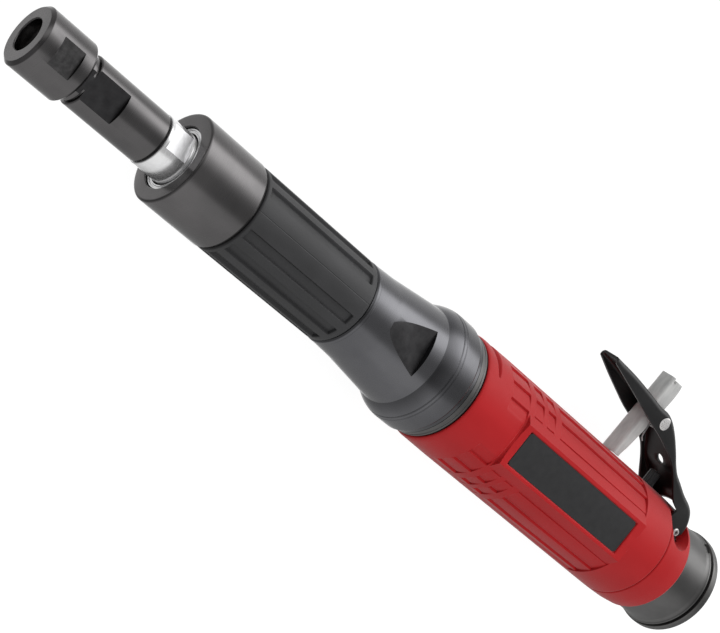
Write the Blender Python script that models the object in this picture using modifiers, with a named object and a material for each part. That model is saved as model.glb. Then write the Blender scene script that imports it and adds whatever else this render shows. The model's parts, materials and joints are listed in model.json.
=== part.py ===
"""An extended-nose pneumatic die grinder with a rear throttle lever, lying on its flank.

World frame: +X runs along the spindle from the collet to the air inlet, +Y points to the throttle
lever, +Z points up through the name plate. The origin is under the middle of the bounding box, on
the floor. Lengths below are in millimetres along the tool ("station", 0 near the collet nut's
front face) or across it, and MM turns them into metres.
"""

import math

import bmesh
import bpy
from mathutils import Matrix, Vector

MM = 0.001

# ---- driving dimensions ------------------------------------------------------------------------
NUT_FACE = -3.2          # station of the collet nut's front face
REAR_FACE = 392.4        # station of the exhaust ring's rear face
BODY_R = 25.3            # largest radius of the handle
LOCK_TOP = 66.2          # height of the lock lever's tip above the spindle axis
GAP = 0.3                # clearance between neighbouring solids
SHANK_R = 3.05           # collet bore, for a 6 mm shank

NOSE_FRONT = 65.0
GRIP_FRONT, GRIP_REAR = 94.7, 156.3
HOUSING_FRONT = 156.6    # conical clamp housing behind the rubber grip
HOUSING_REAR = 213.2
HANDLE_FRONT = 218.0
SEAM = 351.3             # joint between the long handle sleeve and its rear ring
RED_REAR = 368.7

BEARING_BORE_R, BEARING_R, BEARING_LENGTH = 7.0, 12.5, 9.0
MOTOR_BEARING_BORE_R, MOTOR_BEARING_R, MOTOR_BEARING_LENGTH = 6.0, 11.0, 7.0
FRONT_BEARING, REAR_BEARING = 69.6, 146.3
MOTOR_FRONT_BEARING, MOTOR_REAR_BEARING = 204.4, 268.0

MOTOR_R = 21.3
MOTOR_FRONT, MOTOR_REAR = 213.3, 266.0
ROTOR_R = 14.2
CYLINDER_BORE_R = 16.6
CYLINDER_OFFSET = 1.9    # the air motor's bore is eccentric by this much
VANES = 4
VANE_THICKNESS = 1.2
VANE_INNER_R, VANE_OUTER_R = 7.8, 14.0

PIN = (359.6, 16.4)      # (station, height) of the throttle lever's hinge pin
PIN_R = 1.6
LOCK_PIVOT = (318.9, 47.7)
SHEET = 1.5              # pressed steel thickness of the two levers
PLUNGER = 343.2          # station of the throttle plunger
PLUNGER_TOP = 31.4
PLUNGER_R = 4.0
SLOT_CENTRE = (358.8, 18.2)
SLOT_R = 7.2             # relief in the handle for the lever's two ears
SLOT_INNER_Z = 10.8
LABEL_FRONT, LABEL_REAR, LABEL_HALF = 250.4, 327.1, 7.4

WIDE, MEDIUM, SMALL = 32, 24, 16   # facets round a turned piece
PAST = 1.0               # how far a cutter runs beyond the surface that it opens

MIDDLE = (NUT_FACE + REAR_FACE) / 2
AXIS_PLACE = Vector((-MIDDLE, (BODY_R - LOCK_TOP) / 2, BODY_R)) * MM


# ---- scene and materials -----------------------------------------------------------------------
for old in list(bpy.data.objects):
    bpy.data.objects.remove(old)


def collection(name):
    made = bpy.data.collections.new(name)
    bpy.context.scene.collection.children.link(made)
    return made


PARTS = collection("die_grinder")
CUTTERS = collection("cutters")


def material(name, colour, roughness, metallic):
    made = bpy.data.materials.new(name)
    made.use_nodes = True
    shader = made.node_tree.nodes["Principled BSDF"]
    shader.inputs["Base Color"].default_value = (*colour, 1.0)
    shader.inputs["Roughness"].default_value = roughness
    shader.inputs["Metallic"].default_value = metallic
    return made


GUNMETAL = (0.075, 0.075, 0.08)
STEEL = (0.62, 0.62, 0.62)
BRIGHT = (0.80, 0.80, 0.80)
SATIN = (0.13, 0.13, 0.135)
RED = (0.50, 0.022, 0.028)
BLACK = (0.018, 0.018, 0.019)


# ---- modelling helpers -------------------------------------------------------------------------
def empty(name, place, turn=(0, 0, 0), parent=None):
    made = bpy.data.objects.new(name, None)
    made.location = place
    made.rotation_euler = turn
    made.parent = parent
    PARTS.objects.link(made)
    return made


# Under tool_frame, x is the station, y the height towards the lever and z the way up.
TOOL_FRAME = empty("tool_frame", AXIS_PLACE)
# Under spin_axis, local z is the station, so a Screw about z turns round the spindle.
SPIN_AXIS = empty("spin_axis", (0, 0, 0), (0, math.pi / 2, 0), TOOL_FRAME)
PLUNGER_AXIS = empty("plunger_axis", Vector((PLUNGER, 0, 0)) * MM, (-math.pi / 2, 0, 0), TOOL_FRAME)


def link(mesh, name, parent, finish=None, place=(0, 0, 0)):
    """A new object of this mesh: a part if it has a finish, or else a hidden cutter."""
    made = bpy.data.objects.new(name, mesh)
    made.parent = parent
    made.location = Vector(place) * MM
    if finish is None:
        CUTTERS.objects.link(made)
        made.hide_render = True
        made.display_type = "WIRE"
        return made
    PARTS.objects.link(made)
    mesh.materials.append(material(name, *finish))
    mesh.shade_smooth()
    mesh.set_sharp_from_angle(angle=math.radians(30))
    return made


def turned(name, outer, bore=(), finish=None, steps=MEDIUM, parent=SPIN_AXIS, place=(0, 0, 0)):
    """A turned piece. Both profiles are (station, radius) pairs, front to rear; no bore is solid."""
    loop = list(reversed(outer)) + list(bore)
    if not bore:
        loop = [(outer[-1][0], 0.0)] + loop + [(outer[0][0], 0.0)]
    points = [(radius * MM, 0, station * MM) for station, radius in loop]
    edges = [(i, i + 1) for i in range(len(points) - 1)]
    if bore:
        edges.append((len(points) - 1, 0))
    mesh = bpy.data.meshes.new(name)
    mesh.from_pydata(points, edges, [])
    made = link(mesh, name, parent, finish, place)
    screw = made.modifiers.new("turn", "SCREW")
    screw.steps = screw.render_steps = steps
    screw.use_merge_vertices = True
    screw.merge_threshold = 0.00001
    screw.use_smooth_shade = True
    return made


def box(name, low, high, finish=None, parent=TOOL_FRAME, turn_x=0.0):
    """A block between two corners, turned about the parent's x axis."""
    size = Vector(high) - Vector(low)
    middle = (Vector(high) + Vector(low)) / 2
    shape = bmesh.new()
    place = Matrix.Translation(middle * MM) @ Matrix.Diagonal((*(size * MM), 1.0))
    bmesh.ops.create_cube(shape, size=1.0, matrix=place)
    mesh = bpy.data.meshes.new(name)
    shape.to_mesh(mesh)
    shape.free()
    made = link(mesh, name, parent, finish)
    made.rotation_euler = (turn_x, 0, 0)
    return made


def prism(name, outline, low, high, axis="z", finish=None, place=(0, 0)):
    """A flat outline carried from low to high along one axis. Axis z takes (x, y), x takes (y, z)."""
    lay = {"z": lambda a, b, c: (a, b, c), "x": lambda a, b, c: (c, a, b)}[axis]
    shape = bmesh.new()
    ring = [shape.verts.new(Vector(lay(a - place[0], b - place[1], low)) * MM) for a, b in outline]
    face = shape.faces.new(ring)
    swept = bmesh.ops.extrude_face_region(shape, geom=[face])["geom"]
    rise = Vector(lay(0, 0, high - low)) * MM
    moved = [item for item in swept if isinstance(item, bmesh.types.BMVert)]
    bmesh.ops.translate(shape, vec=rise, verts=moved)
    bmesh.ops.recalc_face_normals(shape, faces=shape.faces)
    mesh = bpy.data.meshes.new(name)
    shape.to_mesh(mesh)
    shape.free()
    return link(mesh, name, TOOL_FRAME, finish, (*place, 0) if axis == "z" else (0, 0, 0))


def cross_pin(name, place, radius, low, high, finish=None, steps=SMALL):
    """A pin along z through (station, height)."""
    shape = bmesh.new()
    bmesh.ops.create_cone(
        shape, cap_ends=True, segments=steps, radius1=radius * MM, radius2=radius * MM,
        depth=(high - low) * MM, matrix=Matrix.Translation((0, 0, (low + high) / 2 * MM)),
    )
    mesh = bpy.data.meshes.new(name)
    shape.to_mesh(mesh)
    shape.free()
    return link(mesh, name, TOOL_FRAME, finish, (*place, 0))


def boolean(target, tool, operation="DIFFERENCE"):
    step = target.modifiers.new(tool.name, "BOOLEAN")
    step.operation = operation
    step.object = tool


def flats(target, front, rear, height, angle, reach=30.0):
    """Two opposite spanner flats; angle runs from up towards the lever."""
    for side in (0, 180):
        tool = box(
            f"{target.name}_flat_{side}", (front, -reach, height), (rear, reach, height + reach),
            turn_x=-math.radians(angle + side),
        )
        boolean(target, tool)


def arc(centre, radius, start, end, steps):
    """Points on an arc, in degrees, ends included."""
    angles = [math.radians(start + (end - start) * i / steps) for i in range(steps + 1)]
    return [(centre[0] + radius * math.cos(a), centre[1] + radius * math.sin(a)) for a in angles]


def coil(name, finish, parent, radius, wire, rise, turns, start, points_a_turn=10, place=(0, 0, 0)):
    """A helical wire whose axis is the parent's local z."""
    curve = bpy.data.curves.new(name, "CURVE")
    curve.dimensions = "3D"
    curve.bevel_depth = wire * MM
    curve.bevel_resolution = 0
    curve.use_fill_caps = True
    spline = curve.splines.new("POLY")
    count = int(turns * points_a_turn)
    spline.points.add(count)
    for i, point in enumerate(spline.points):
        turn = 2 * math.pi * i / points_a_turn
        along = start + rise * i / count
        point.co = (radius * math.cos(turn) * MM, radius * math.sin(turn) * MM, along * MM, 1.0)
    made = bpy.data.objects.new(name, curve)
    made.parent = parent
    made.location = Vector(place) * MM
    PARTS.objects.link(made)
    curve.materials.append(material(name, *finish))
    return made


# ---- collet and spindle ------------------------------------------------------------------------
def make_collet_nut():
    outer = [(NUT_FACE, 11.1), (-2.3, 11.9), (16.8, 11.9), (17.6, 11.3)]
    bore = [(NUT_FACE, 6.7), (-2.8, 6.34), (2.0, 6.34), (4.2, 7.4), (5.6, 7.4), (6.2, 8.95), (17.6, 8.95)]
    nut = turned("collet_nut", outer, bore, (GUNMETAL, 0.35, 0.9))
    flats(nut, 3.2, 12.4, 10.65, 8)


def make_collet():
    outer = [(-1.4, 5.6), (-1.0, 6.0), (2.1, 6.0), (4.0, 6.95), (7.5, 6.95), (23.0, 5.3)]
    bore = [(-1.4, SHANK_R + 0.5), (-0.9, SHANK_R), (23.0, SHANK_R)]
    collet = turned("collet", outer, bore, (STEEL, 0.3, 1.0), steps=24)
    for angle in (15, 75, 135):
        slit = box(f"collet_slit_{angle}", (-4, -9, -0.4), (18, 9, 0.4), turn_x=math.radians(angle))
        boolean(collet, slit)


def make_spindle_extension():
    outer = [
        (8.2, 8.2), (8.7, 8.6), (19.0, 8.6), (19.2, 8.0), (20.8, 8.0), (20.8, 9.6), (21.2, 10.0),
        (53.2, 10.0), (53.7, 9.7),
    ]
    bore = [(8.2, 7.3), (23.5, 5.65), (24.0, 4.0), (38.0, 4.0), (38.0, 6.25), (53.7, 6.25)]
    piece = turned("spindle_extension", outer, bore, (GUNMETAL, 0.4, 0.9))
    flats(piece, 20.9, 34.9, 8.1, 1)


def make_spindle():
    outer = [
        (38.8, 5.9), (54.1, 5.9), (54.1, 9.9), (54.5, 10.3), (67.8, 10.3), (67.8, 8.2), (69.3, 8.2),
        (69.3, 6.7), (79.5, 6.7), (79.5, 7.6), (146.0, 7.6), (146.0, 6.7), (156.0, 6.7),
        (156.0, 5.7), (176.0, 5.7),
    ]
    piece = turned("spindle", outer, (), (BRIGHT, 0.2, 1.0))
    flats(piece, 55.5, 64.5, 8.95, 32)


def make_coupling():
    turned("drive_coupling", [(164.0, 9.0), (190.0, 9.0)], [(164.0, 6.0), (190.0, 6.0)],
           (STEEL, 0.35, 1.0), steps=24)


# ---- bearings ----------------------------------------------------------------------------------
def make_bearing(name, front, bore_r, outer_r, length, balls=7):
    """An open ball bearing: outer race, inner race, and the balls joined by their cage."""
    rear, middle = front + length, front + length / 2
    pitch = (bore_r + outer_r) / 2
    ball_r = 0.26 * (outer_r - bore_r)
    shoulder = 0.2 * (outer_r - bore_r)
    groove = ball_r + GAP
    races = {
        "outer_race": ([(front, outer_r), (rear, outer_r)],
                       [(front, pitch + shoulder), (middle - ball_r, pitch + shoulder),
                        (middle, pitch + groove),
                        (middle + ball_r, pitch + shoulder), (rear, pitch + shoulder)]),
        "inner_race": ([(front, pitch - shoulder), (middle - ball_r, pitch - shoulder),
                        (middle, pitch - groove),
                        (middle + ball_r, pitch - shoulder), (rear, pitch - shoulder)],
                       [(front, bore_r), (rear, bore_r)]),
    }
    for race, (outer, bore) in races.items():
        turned(f"{name}_{race}", outer, bore, (BRIGHT, 0.2, 1.0), steps=SMALL)
    cage_front, cage_rear = middle - 0.6, middle + 0.6
    cage = turned(f"{name}_ball_set", [(cage_front, pitch + 0.45), (cage_rear, pitch + 0.45)],
                  [(cage_front, pitch - 0.45), (cage_rear, pitch - 0.45)],
                  (BRIGHT, 0.1, 1.0), steps=2 * balls)
    shape = bmesh.new()
    for i in range(balls):
        turn = 2 * math.pi * i / balls
        centre = Vector((pitch * math.cos(turn), pitch * math.sin(turn), middle)) * MM
        bmesh.ops.create_uvsphere(
            shape, u_segments=6, v_segments=4, radius=ball_r * MM,
            matrix=Matrix.Translation(centre),
        )
    mesh = bpy.data.meshes.new(f"{name}_balls")
    shape.to_mesh(mesh)
    shape.free()
    boolean(cage, link(mesh, f"{name}_balls", SPIN_AXIS), "UNION")


def make_bearing_locks():
    turned("bearing_retainer", [(66.0, 12.5), (69.2, 12.5)], [(66.0, 10.7), (69.2, 10.7)],
           (BRIGHT, 0.25, 1.0))
    turned("rear_snap_ring", [(155.7, 12.5), (156.9, 12.5)], [(155.7, 10.9), (156.9, 10.9)],
           (STEEL, 0.4, 1.0))


# ---- front housings and grip -------------------------------------------------------------------
def make_front_housings():
    outer = [
        (NOSE_FRONT, 17.5), (NOSE_FRONT + 0.9, 18.4), (93.9, 18.25), (94.4, 17.8), (94.4, 15.5),
        (172.0, 15.5),
    ]
    bore = [
        (NOSE_FRONT, 12.83), (79.2, 12.83), (79.2, 11.4), (145.9, 11.4), (145.9, 12.83), (172.0, 12.83),
    ]
    turned("extension_housing", outer, bore, (GUNMETAL, 0.35, 0.9), steps=WIDE)
    sleeve = [(GRIP_FRONT, 17.7), (95.3, 18.2), (155.7, 18.2), (GRIP_REAR, 17.8)]
    turned("grip_sleeve", sleeve, [(GRIP_FRONT, 15.8), (GRIP_REAR, 15.8)], (BLACK, 0.7, 0.0),
           steps=WIDE)
    outer = [
        (HOUSING_FRONT, 17.8), (157.1, 18.3), (170.0, 18.8), (189.4, 21.3), (193.6, 22.9),
        (197.2, 24.5), (200.6, 25.2), (210.4, 25.2), (211.3, 24.5), (HOUSING_REAR, 24.3),
    ]
    bore = [
        (HOUSING_FRONT, 15.8), (172.3, 15.8), (172.3, 10.8), (203.6, 10.8), (203.6, 21.6),
        (HOUSING_REAR, 21.6),
    ]
    housing = turned("clamp_housing", outer, bore, (SATIN, 0.35, 0.9), steps=WIDE)
    flats(housing, 170.0, 189.4, 18.8, 12)
    turned("clamp_ring", [(213.5, 24.2), (216.4, 24.0), (217.6, 23.6)], [(213.5, 21.6), (217.6, 21.6)],
           (SATIN, 0.4, 0.9), steps=WIDE)


# ---- air motor ---------------------------------------------------------------------------------
def make_motor():
    pocket = MOTOR_BEARING_R + GAP
    journal = 6.3
    turned("front_end_plate", [(204.0, MOTOR_R), (213.0, MOTOR_R)],
           [(204.0, pocket), (211.7, pocket), (211.7, journal), (213.0, journal)], (STEEL, 0.4, 1.0))
    turned("rear_end_plate", [(266.3, MOTOR_R), (275.3, MOTOR_R)],
           [(266.3, journal), (267.7, journal), (267.7, pocket), (275.3, pocket)], (STEEL, 0.4, 1.0))
    cylinder = turned("motor_cylinder", [(MOTOR_FRONT, MOTOR_R), (MOTOR_REAR, MOTOR_R)], (),
                      (STEEL, 0.4, 1.0))
    bore = turned("motor_cylinder_bore",
                  [(MOTOR_FRONT - PAST, CYLINDER_BORE_R), (MOTOR_REAR + PAST, CYLINDER_BORE_R)],
                  place=(0, -CYLINDER_OFFSET, 0))
    boolean(cylinder, bore)
    outer = [
        (178.5, 5.7), (213.6, 5.7), (213.6, ROTOR_R), (265.7, ROTOR_R), (265.7, 5.7), (275.0, 5.7),
    ]
    rotor = turned("rotor", outer, (), (STEEL, 0.35, 1.0))
    half = VANE_THICKNESS / 2
    for i in range(VANES):
        turn = math.radians(45 + 360 * i / VANES)
        slot = box(f"vane_slot_{i + 1}", (213.6 - PAST, -half - GAP, VANE_INNER_R - GAP),
                   (265.7 + PAST, half + GAP, ROTOR_R + PAST), turn_x=turn)
        boolean(rotor, slot)
        box(f"vane_{i + 1}", (214.0, -half, VANE_INNER_R), (265.3, half, VANE_OUTER_R),
            ((0.35, 0.24, 0.13), 0.6, 0.0), turn_x=turn)
    turned("motor_case", [(217.9, 23.2), (300.0, 23.2)], [(217.9, 21.6), (300.0, 21.6)],
           (STEEL, 0.4, 1.0), steps=WIDE)


# ---- handle ------------------------------------------------------------------------------------
def make_slot_cutters():
    """The two side reliefs that the lever's ears turn in, open towards the lever."""
    bottom = arc(SLOT_CENTRE, SLOT_R, 180, 360, 10)
    front, rear = SLOT_CENTRE[0] - SLOT_R, SLOT_CENTRE[0] + SLOT_R
    outline = [(front, 32.0)] + bottom + [(rear, 32.0)]
    return [
        prism("ear_slot_up", outline, SLOT_INNER_Z, 30.0),
        prism("ear_slot_down", outline, -30.0, -SLOT_INNER_Z),
    ]


def make_handle(ear_slots, pin_hole, plunger_hole):
    outer = [
        (HANDLE_FRONT, 24.1), (219.4, 24.5), (235.0, 24.8), (279.0, 25.0), (345.0, BODY_R),
        (350.6, BODY_R), (SEAM, 24.9),
    ]
    handle = turned("handle_sleeve", outer, [(HANDLE_FRONT, 23.5), (SEAM, 23.5)], (RED, 0.5, 0.0),
                    steps=WIDE)
    pad = box("label_pad", (246.2, -9.4, 23.6), (331.0, 9.4, 25.1))
    recess = box("label_recess", (LABEL_FRONT - GAP, -LABEL_HALF - GAP, 24.0),
                 (LABEL_REAR + GAP, LABEL_HALF + GAP, 28.0))
    boolean(handle, pad, "UNION")
    boolean(handle, recess)
    boolean(handle, plunger_hole)
    box("label_plate", (LABEL_FRONT, -LABEL_HALF, 24.3), (LABEL_REAR, LABEL_HALF, 24.8),
        (BLACK, 0.5, 0.0))

    outer = [(SEAM + GAP, 24.9), (352.3, BODY_R), (361.0, 25.0), (RED_REAR, 24.0)]
    ring = turned("handle_rear_ring", outer, [(SEAM + GAP, 18.9), (RED_REAR, 18.9)], (RED, 0.5, 0.0),
                  steps=WIDE)
    for tool in (*ear_slots, pin_hole):
        boolean(ring, tool)


def make_throttle_body(ear_slots, pin_hole, plunger_hole):
    """The cast core of the handle: air inlet at the rear, valve bore across, supply to the motor."""
    outer = [
        (276.0, 21.2), (300.3, 21.2), (300.3, 22.9), (351.2, 22.9), (351.2, 18.6), (368.4, 18.6),
        (368.4, 14.0), (388.2, 14.0),
    ]
    bore = [(276.0, 4.0), (352.0, 4.0), (352.0, 6.5), (366.0, 6.5), (366.0, 11.0), (388.2, 11.0)]
    body = turned("throttle_body", outer, bore, (STEEL, 0.45, 1.0), steps=WIDE)
    valve_bore = turned("valve_bore", [(-12.0, 4.6), (5.9, 4.6), (5.9, 5.6), (16.5, 5.6)],
                        steps=SMALL, parent=PLUNGER_AXIS)
    for tool in (*ear_slots, pin_hole, valve_bore, plunger_hole):
        boolean(body, tool)


# ---- throttle valve ----------------------------------------------------------------------------
def make_valve():
    turned("valve_bushing", [(6.2, 5.3), (16.2, 5.3)], [(6.2, 3.0), (16.2, 3.0)],
           ((0.55, 0.40, 0.16), 0.35, 1.0), steps=SMALL, parent=PLUNGER_AXIS)
    turned("throttle_plunger",
           [(8.0, 2.6), (21.5, 2.6), (21.5, PLUNGER_R), (PLUNGER_TOP - 1.8, PLUNGER_R),
            (PLUNGER_TOP, 2.4)],
           (), (BLACK, 0.45, 0.0), steps=SMALL, parent=PLUNGER_AXIS)
    shape = bmesh.new()
    bmesh.ops.create_uvsphere(shape, u_segments=10, v_segments=6, radius=3.4 * MM,
                              matrix=Matrix.Translation((0, 0, 4.2 * MM)))
    mesh = bpy.data.meshes.new("valve_ball")
    shape.to_mesh(mesh)
    shape.free()
    link(mesh, "valve_ball", PLUNGER_AXIS, (BRIGHT, 0.15, 1.0))
    coil("valve_spring", (STEEL, 0.3, 1.0), PLUNGER_AXIS, 2.8, 0.4, 11.0, 5, -11.3)


# ---- rear end ----------------------------------------------------------------------------------
def make_rear_end():
    outer = [
        (369.1, 22.7), (384.6, 22.7), (386.4, 23.7), (387.2, 23.9), (387.3, 23.3), (388.0, 23.3),
        (388.1, 24.1), (391.6, 23.9), (REAR_FACE, 23.3),
    ]
    bore = [(369.1, 20.0), (390.6, 20.0), (390.6, 17.2), (REAR_FACE, 17.2)]
    turned("exhaust_ring", outer, bore, (SATIN, 0.4, 0.9), steps=WIDE)
    turned("muffler", [(371.0, 19.6), (390.2, 19.6)], [(371.0, 14.4), (390.2, 14.4)],
           ((0.3, 0.27, 0.22), 0.9, 0.0))
    outer = [(366.3, 10.7), (388.5, 10.7), (388.5, 13.8), (392.0, 13.8)]
    bore = [(366.3, 4.6), (374.0, 4.6), (374.0, 6.6), (392.0, 6.8)]
    bushing = turned("inlet_bushing", outer, bore, (STEEL, 0.35, 1.0), steps=24)
    for side in range(6):
        tool = box(f"inlet_hex_{side}", (388.4, -12, 12.0), (394.0, 12, 18.0),
                   turn_x=math.radians(60 * side))
        boolean(bushing, tool)
    screen = [(353.0, 6.1), (365.4, 6.1)]
    turned("inlet_screen", screen, [(353.0, 1.2), (353.6, 1.2), (353.6, 5.5), (365.4, 5.5)],
           (STEEL, 0.5, 1.0), steps=SMALL)


# ---- levers ------------------------------------------------------------------------------------
# Each section of the throttle lever: top edge, lower edge of the side wall, and half width.
LEVER_SECTIONS = [
    ((280.5, 55.1), (281.0, 52.8), 7.0),
    ((292.0, 54.2), (292.5, 49.6), 7.6),
    ((304.0, 53.0), (304.0, 46.4), 8.1),
    ((313.0, 52.0), (313.0, 43.9), 8.6),
    ((319.5, 51.2), (322.0, 41.2), 9.1),
    ((326.3, 47.7), (329.0, 39.0), 10.0),
    ((334.0, 42.0), (335.0, 36.8), 11.0),
    ((341.0, 35.6), (340.0, 33.0), 12.0),
    ((347.0, 32.9), (346.5, 27.8), 12.5),
    ((352.9, 29.9), (353.4, 24.0), 12.9),
    ((358.2, 28.3), (353.2, 20.5), 13.1),
    ((361.0, 25.8), (355.6, 14.6), 13.2),
    ((362.8, 22.0), (359.6, 12.8), 13.3),
    ((363.4, 17.0), (362.6, 14.0), 13.3),
]


def make_throttle_lever():
    """A pressed channel: half of its skin, mirrored and thickened, then cut."""
    shape = bmesh.new()
    pivot = Vector((*PIN, 0))
    rows = []
    for (top_x, top_y), (low_x, low_y), half in LEVER_SECTIONS:
        corners = [(top_x, top_y, 0), (top_x, top_y, half), (low_x, low_y, half)]
        rows.append([shape.verts.new((Vector(c) - pivot) * MM) for c in corners])
    for row, after in zip(rows, rows[1:]):
        for i in range(2):
            shape.faces.new((row[i], row[i + 1], after[i + 1], after[i]))
    mesh = bpy.data.meshes.new("throttle_lever")
    shape.to_mesh(mesh)
    shape.free()
    lever = link(mesh, "throttle_lever", TOOL_FRAME, (BLACK, 0.35, 0.6), (*PIN, 0))
    mirror = lever.modifiers.new("both_sides", "MIRROR")
    mirror.use_axis = (False, False, True)
    mirror.merge_threshold = 0.00001
    skin = lever.modifiers.new("sheet", "SOLIDIFY")
    skin.thickness = SHEET * MM
    skin.offset = -1
    skin.use_even_offset = True
    arch = [(4.0, -11.3), (4.0, 11.3)] + arc((0, 0), 26.3, 25.5, -25.5, 12)
    web_slot = box("lever_web_slot", (308.0, 44.0, -5.2), (328.5, 60.0, 5.2))
    web_hole = turned("lever_web_hole", [(-8.0, 2.3), (8.0, 2.3)], steps=12, parent=TOOL_FRAME,
                      place=(339.6, 37.2, 0))
    web_hole.rotation_euler = (math.radians(-90), 0, math.radians(-42))
    for tool in (
        web_slot, web_hole,
        prism("lever_rear_arch", arch, 349.0, 368.0, axis="x"),
        cross_pin("lever_pin_hole", PIN, PIN_R + GAP, -16, 16),
        cross_pin("lever_rivet_hole", LOCK_PIVOT, 2.1, -12, 12),
    ):
        boolean(lever, tool)


def make_lever_pin():
    pin = cross_pin("lever_pin", PIN, PIN_R, -14.8, 14.8, (BRIGHT, 0.25, 1.0))
    boolean(pin, cross_pin("lever_pin_bore", PIN, 0.9, -16, 16, steps=10))


def make_lock_lever():
    """The lock-off lever: a narrow channel standing between the handle and the throttle lever."""
    outline = [(311.8, 26.7), (314.9, 26.7), (315.6, 31.0), (317.4, 40.5)]
    outline += arc(LOCK_PIVOT, 3.9, -60, 60, 6)
    outline += [(318.2, 58.0), (317.4, 65.2), (316.6, LOCK_TOP), (313.1, LOCK_TOP)]
    lever = prism("lock_lever", outline, -4.5, 4.5, finish=(STEEL, 0.35, 1.0), place=LOCK_PIVOT)
    boolean(lever, box("lock_lever_channel", (314.7, 20.0, -3.1), (330.0, 72.0, 3.1)))
    boolean(lever, cross_pin("lock_lever_hole", LOCK_PIVOT, 2.1, -6, 6))


def make_lock_rivet():
    profile = [
        (-11.0, 1.6), (-10.9, 2.7), (-9.5, 2.7), (-9.5, 1.8), (9.5, 1.8), (9.5, 3.3), (10.4, 3.3),
        (11.0, 2.0),
    ]
    turned("lock_rivet", profile, (), (BRIGHT, 0.2, 1.0), steps=SMALL, parent=TOOL_FRAME,
           place=(*LOCK_PIVOT, 0))
    coil("lock_spring", (STEEL, 0.3, 1.0), TOOL_FRAME, 2.6, 0.35, 4.0, 4, -2.0,
         place=(*LOCK_PIVOT, 0))


def build():
    make_collet_nut()
    make_collet()
    make_spindle_extension()
    make_spindle()
    make_coupling()
    spindle_bearings = {"front_bearing": FRONT_BEARING, "rear_bearing": REAR_BEARING}
    for name, front in spindle_bearings.items():
        make_bearing(name, front, BEARING_BORE_R, BEARING_R, BEARING_LENGTH)
    motor_bearings = {"motor_front_bearing": MOTOR_FRONT_BEARING, "motor_rear_bearing": MOTOR_REAR_BEARING}
    for name, front in motor_bearings.items():
        make_bearing(name, front, MOTOR_BEARING_BORE_R, MOTOR_BEARING_R, MOTOR_BEARING_LENGTH)
    make_bearing_locks()
    make_front_housings()
    make_motor()
    ear_slots = make_slot_cutters()
    pin_hole = cross_pin("hinge_pin_hole", PIN, PIN_R + GAP, -20, 20)
    plunger_hole = turned("plunger_hole", [(16.4, PLUNGER_R + 0.4), (40.0, PLUNGER_R + 0.4)], steps=SMALL,
                          parent=PLUNGER_AXIS)
    make_handle(ear_slots, pin_hole, plunger_hole)
    make_throttle_body(ear_slots, pin_hole, plunger_hole)
    make_valve()
    make_rear_end()
    make_throttle_lever()
    make_lever_pin()
    make_lock_lever()
    make_lock_rivet()


build()
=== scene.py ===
"""Looks of the die grinder: fine surfaces, materials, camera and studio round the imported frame.

Places along the tool are stations in millimetres, measured along the spindle from near the collet
nut's front face. Height is measured from the spindle axis towards the throttle lever, and side
towards the name plate. Angles round the tool start at the name plate and grow towards the lever.
"""
import json
import math

import bmesh
import bpy
import numpy as np
from mathutils import Matrix, Vector


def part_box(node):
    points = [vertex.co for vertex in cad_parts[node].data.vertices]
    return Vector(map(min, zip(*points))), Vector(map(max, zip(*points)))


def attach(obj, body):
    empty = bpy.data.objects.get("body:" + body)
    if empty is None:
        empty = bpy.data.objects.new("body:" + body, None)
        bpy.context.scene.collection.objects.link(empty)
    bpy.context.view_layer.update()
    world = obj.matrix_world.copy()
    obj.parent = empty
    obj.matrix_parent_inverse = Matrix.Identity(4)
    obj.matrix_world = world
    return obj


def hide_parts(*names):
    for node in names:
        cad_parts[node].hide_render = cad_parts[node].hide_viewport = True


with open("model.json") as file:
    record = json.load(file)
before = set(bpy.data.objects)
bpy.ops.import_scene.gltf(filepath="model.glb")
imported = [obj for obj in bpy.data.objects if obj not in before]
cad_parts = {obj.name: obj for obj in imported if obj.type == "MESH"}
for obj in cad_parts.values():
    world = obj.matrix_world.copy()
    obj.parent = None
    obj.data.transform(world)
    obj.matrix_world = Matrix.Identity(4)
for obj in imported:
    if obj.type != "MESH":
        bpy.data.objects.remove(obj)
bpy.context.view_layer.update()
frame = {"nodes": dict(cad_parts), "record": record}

MM = 0.001

# ---- the tool's own frame ----------------------------------------------------------------------
NUT_FACE = -3.2
NUT_LOW, NUT_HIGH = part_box("collet_nut")
NUT_MIDDLE = (NUT_LOW + NUT_HIGH) / 2
AXIS_PLACE = Vector((NUT_LOW.x - NUT_FACE * MM, NUT_MIDDLE.y, NUT_MIDDLE.z))


def at(station, height=0.0, side=0.0):
    """A place on the tool, in metres."""
    return AXIS_PLACE + Vector((station, height, side)) * MM


SPINDLE_LINE = Matrix.Translation(AXIS_PLACE)


def line_up(place, axis):
    """Carries local x to a line through place: axis "y" points to the lever and "z" to the plate."""
    degrees, about = {"y": (90, "Z"), "z": (-90, "Y")}[axis]
    return Matrix.Translation(place) @ Matrix.Rotation(math.radians(degrees), 4, about)


# ---- mesh helpers ------------------------------------------------------------------------------
SHARP = math.radians(24)


def new_piece(name, mesh):
    piece = bpy.data.objects.new(name, mesh)
    bpy.context.scene.collection.objects.link(piece)
    return piece


def from_shape(name, shape, matrix=None):
    """An object from a bmesh, its faces turned outward, its points in world space."""
    bmesh.ops.recalc_face_normals(shape, faces=shape.faces)
    mesh = bpy.data.meshes.new(name)
    shape.to_mesh(mesh)
    shape.free()
    if matrix is not None:
        mesh.transform(matrix)
    return new_piece(name, mesh)


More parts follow.
